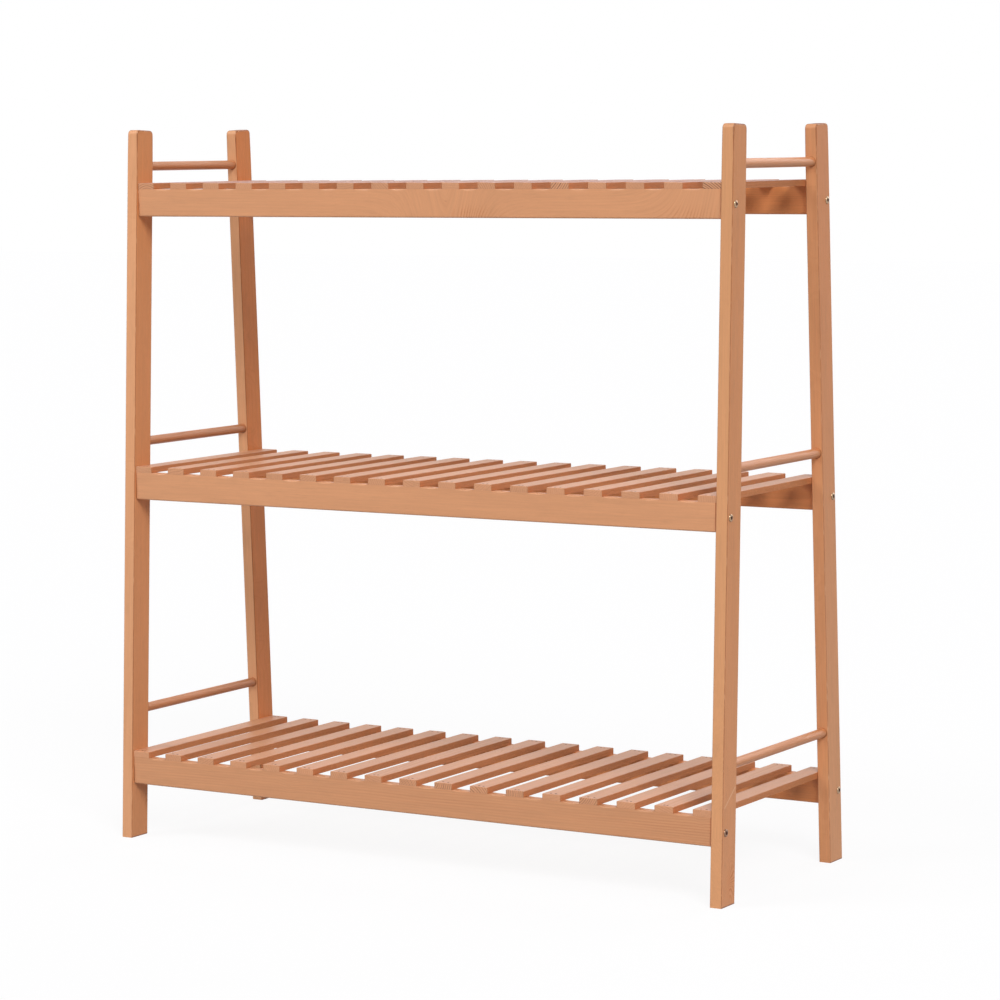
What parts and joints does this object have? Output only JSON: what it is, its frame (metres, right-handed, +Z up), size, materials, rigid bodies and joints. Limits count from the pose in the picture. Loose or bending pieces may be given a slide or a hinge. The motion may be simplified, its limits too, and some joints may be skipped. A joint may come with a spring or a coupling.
{
  "type": "plant ladder stand",
  "caption": "Free-standing wooden plant stand: splayed ladder end frames with round rungs carry slatted shelves for pots.",
  "frame": {"origin": "on the floor, at the middle of the footprint", "axes": "+X to the right along the shelves, +Y from the front to the rear, +Z up"},
  "size_m": [0.903, 0.336, 0.94],
  "materials": {
    "leg_wood": "satin clear-stained softwood, warm orange brown",
    "rail_wood": "satin clear-stained softwood, warm orange brown",
    "rung_wood": "satin clear-stained turned dowel",
    "slat_wood": "satin clear-stained softwood, a little paler",
    "zinc_steel": "bright zinc plate",
    "insert_brass": "plain brass",
    "nail_steel": "dull steel"
  },
  "bodies": {
    "root": {"front_left_leg": "leg_wood", "front_right_leg": "leg_wood", "rear_left_leg": "leg_wood", "rear_right_leg": "leg_wood", "top_front_rail": "rail_wood", "top_rear_rail": "rail_wood", "middle_front_rail": "rail_wood", "middle_rear_rail": "rail_wood", "bottom_front_rail": "rail_wood", "bottom_rear_rail": "rail_wood", "top_left_rung": "rung_wood", "top_right_rung": "rung_wood", "middle_left_rung": "rung_wood", "middle_right_rung": "rung_wood", "bottom_left_rung": "rung_wood", "bottom_right_rung": "rung_wood", "top_slats": "slat_wood", "middle_slat_1": "slat_wood", "middle_slat_2": "slat_wood", "middle_slat_3": "slat_wood", "middle_slat_4": "slat_wood", "middle_slat_5": "slat_wood", "middle_slat_6": "slat_wood", "middle_slat_7": "slat_wood", "middle_slat_8": "slat_wood", "middle_slat_9": "slat_wood", "middle_slat_10": "slat_wood", "middle_slat_11": "slat_wood", "middle_slat_12": "slat_wood", "middle_slat_13": "slat_wood", "middle_slat_14": "slat_wood", "middle_slat_15": "slat_wood", "middle_slat_16": "slat_wood", "middle_slat_17": "slat_wood", "bottom_slat_1": "slat_wood", "bottom_slat_2": "slat_wood", "bottom_slat_3": "slat_wood", "bottom_slat_4": "slat_wood", "bottom_slat_5": "slat_wood", "bottom_slat_6": "slat_wood", "bottom_slat_7": "slat_wood", "bottom_slat_8": "slat_wood", "bottom_slat_9": "slat_wood", "bottom_slat_10": "slat_wood", "bottom_slat_11": "slat_wood", "bottom_slat_12": "slat_wood", "bottom_slat_13": "slat_wood", "bottom_slat_14": "slat_wood", "bottom_slat_15": "slat_wood", "bottom_slat_16": "slat_wood", "bottom_slat_17": "slat_wood", "shelf_bolts": "zinc_steel", "bolt_inserts": "insert_brass", "top_slat_nails": "nail_steel", "middle_slat_nails": "nail_steel", "bottom_slat_nails": "nail_steel"}
  },
  "joints": []
}
